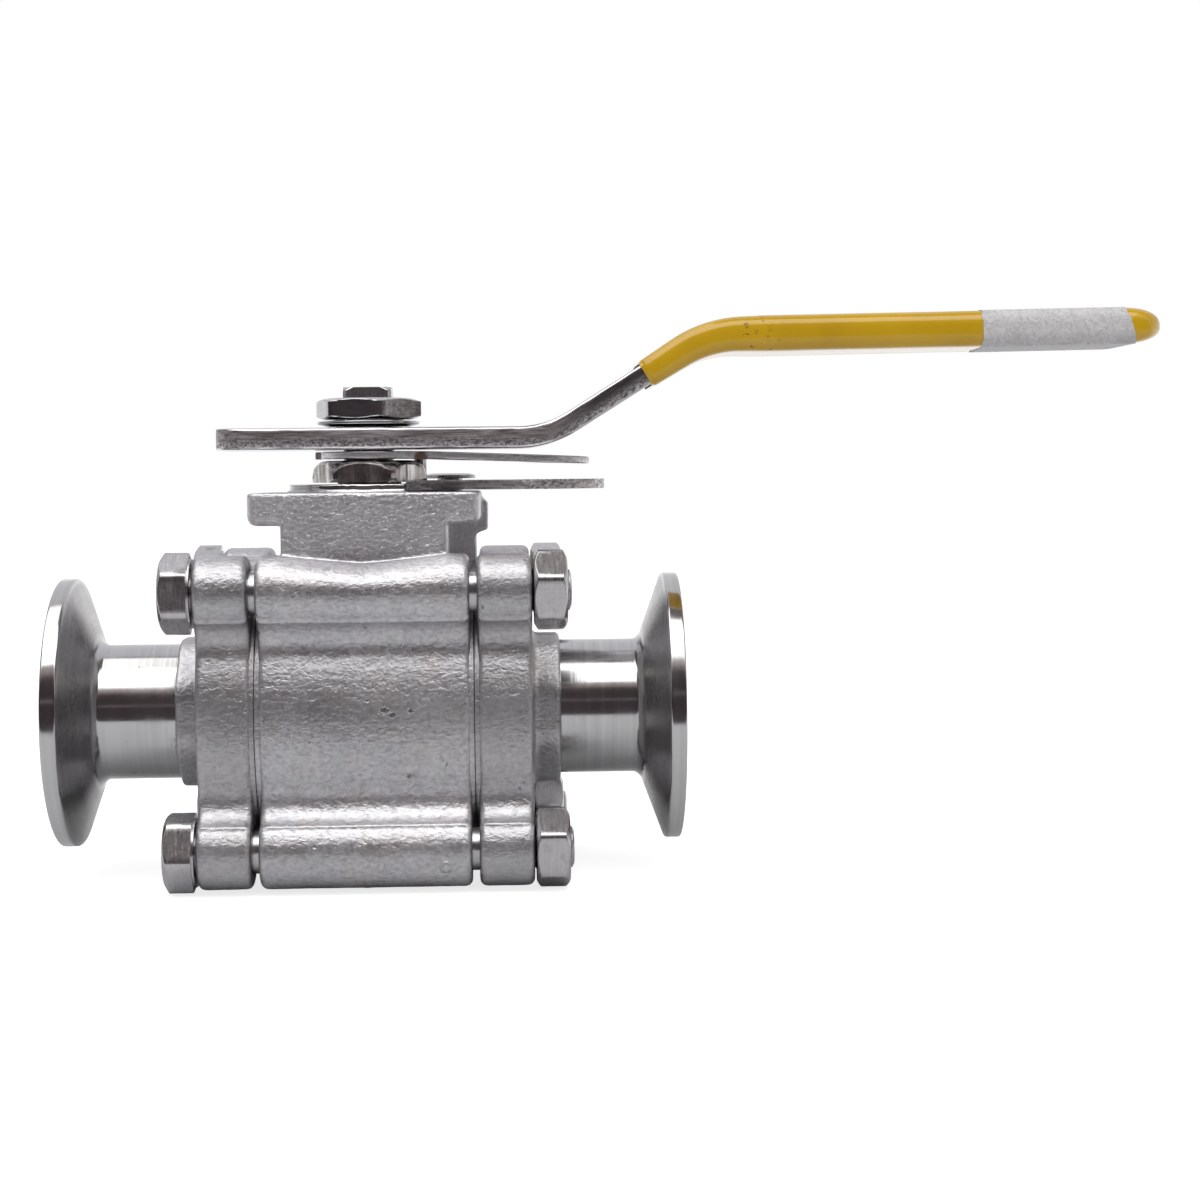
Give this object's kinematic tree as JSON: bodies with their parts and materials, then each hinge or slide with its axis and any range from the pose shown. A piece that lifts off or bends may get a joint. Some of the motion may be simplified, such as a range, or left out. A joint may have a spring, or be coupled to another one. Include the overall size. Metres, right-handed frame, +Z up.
{
  "type": "three-piece ball valve",
  "caption": "Stainless process ball valve with clamp ferrule ends, actuator pad, lock plates and a cranked lever with a yellow sleeve.",
  "frame": {"origin": "where the stem axis crosses the flow axis, at the centre of the ball", "axes": "+X along the pipe, the way the lever points when the valve is open; +Z up the stem; -Y is the side the picture shows"},
  "size_m": [0.2078, 0.0614, 0.1052],
  "materials": {
    "cast_stainless": "bead-blasted investment casting with fine orange-peel texture",
    "machined_stainless": "machined and cold-formed, satin",
    "polished_stainless": "turned and polished, fine lathe lines",
    "plated_steel": "stamped plate, bright faces and rough sheared edges",
    "burnished_steel": "dark, burnished and slightly oily",
    "seat_ptfe": "white waxy PTFE",
    "o_ring_rubber": "black rubber",
    "yellow_vinyl": "glossy dipped vinyl, scuffed in places"
  },
  "bodies": {
    "valve_body": {"body": "cast_stainless", "end_cap_left": "cast_stainless", "end_cap_right": "cast_stainless", "clamp_ferrule_left": "polished_stainless", "clamp_ferrule_right": "polished_stainless", "seat_left": "seat_ptfe", "seat_right": "seat_ptfe", "joint_gasket_left": "seat_ptfe", "joint_gasket_right": "seat_ptfe", "thrust_washer": "seat_ptfe", "stem_packing": "seat_ptfe", "gland_ring": "machined_stainless", "stop_pin": "burnished_steel", "lock_plate": "plated_steel", "lock_plate_screw": "machined_stainless", "body_bolt_front_upper": "machined_stainless", "body_bolt_front_lower": "machined_stainless", "body_bolt_rear_upper": "machined_stainless", "body_bolt_rear_lower": "machined_stainless", "body_nut_front_upper": "machined_stainless", "body_nut_front_lower": "machined_stainless", "body_nut_rear_upper": "machined_stainless", "body_nut_rear_lower": "machined_stainless"},
    "stem_and_lever": {"stem": "machined_stainless", "stem_o_ring": "o_ring_rubber", "disc_spring_lower": "burnished_steel", "disc_spring_upper": "burnished_steel", "gland_nut": "burnished_steel", "lock_arm": "plated_steel", "lever": "plated_steel", "lever_sleeve": "yellow_vinyl", "lever_washer": "plated_steel", "lever_nut": "plated_steel"},
    "ball_body": {"ball": "polished_stainless"}
  },
  "joints": [
    {"name": "lever_turn", "type": "hinge", "parent": "valve_body", "child": "stem_and_lever", "pos_m": [0, 0, 0.0511], "axis": [0, 0, 1], "range_deg": [-90, 0]},
    {"name": "ball_turn", "type": "hinge", "parent": "valve_body", "child": "ball_body", "pos_m": [0, 0, 0], "axis": [0, 0, 1], "range_deg": [-90, 0]}
  ],
  "couplings": [
    {"joint": "ball_turn", "follows": "lever_turn", "ratio": 1}
  ]
}
